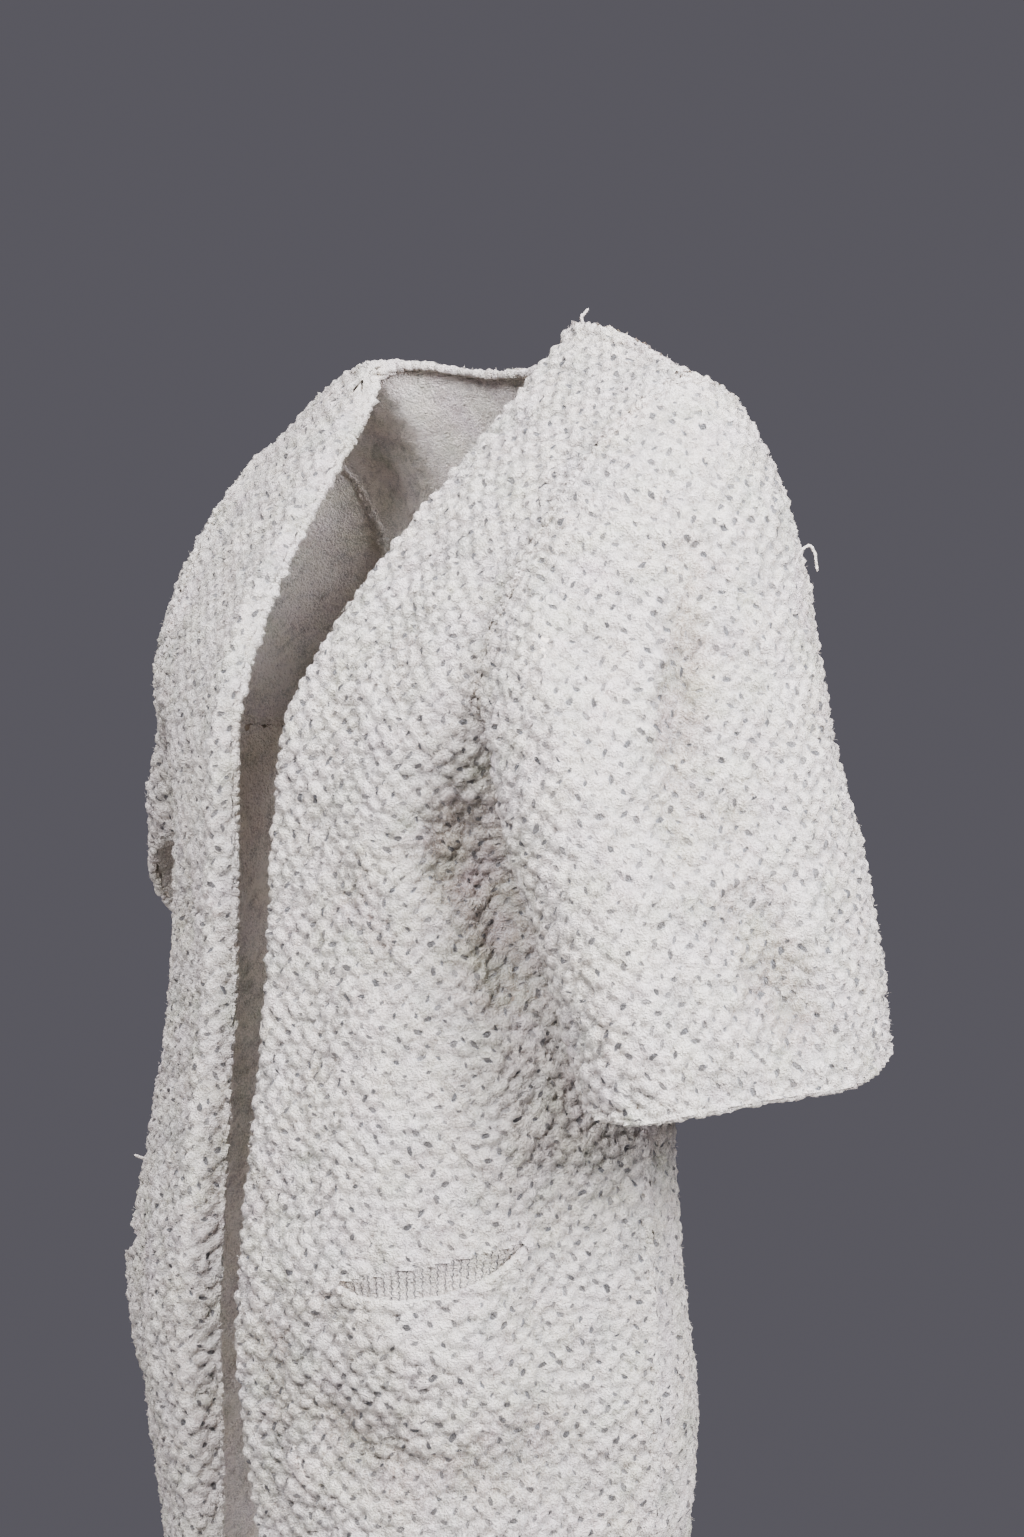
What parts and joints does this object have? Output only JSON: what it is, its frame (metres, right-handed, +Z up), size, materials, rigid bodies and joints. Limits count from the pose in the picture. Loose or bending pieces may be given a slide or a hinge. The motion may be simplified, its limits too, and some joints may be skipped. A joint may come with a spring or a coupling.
{
  "type": "open-front cardigan",
  "caption": "Open-front cardigan in a bulky cream moss-stitch knit, worn and hollow, with wide elbow-length sleeves, a plain V edge and inset pockets.",
  "frame": {"origin": "midway between the two shoulder points of the neck, where the wearer's shoulders carry the garment", "axes": "+Z up, -Y the wearer's front, +X the wearer's left arm"},
  "size_m": [0.6597, 0.3266, 0.8216],
  "materials": {
    "moss_knit": "matt bulky looped yarn in moss stitch, cream",
    "smooth_knit": "matt yarn in plain stitch columns, cream"
  },
  "bodies": {
    "root": {"back": "moss_knit", "front_left": "moss_knit", "front_right": "moss_knit", "sleeve_left": "moss_knit", "sleeve_right": "moss_knit", "pocket_lining_left": "smooth_knit", "pocket_lining_right": "smooth_knit"}
  },
  "joints": []
}
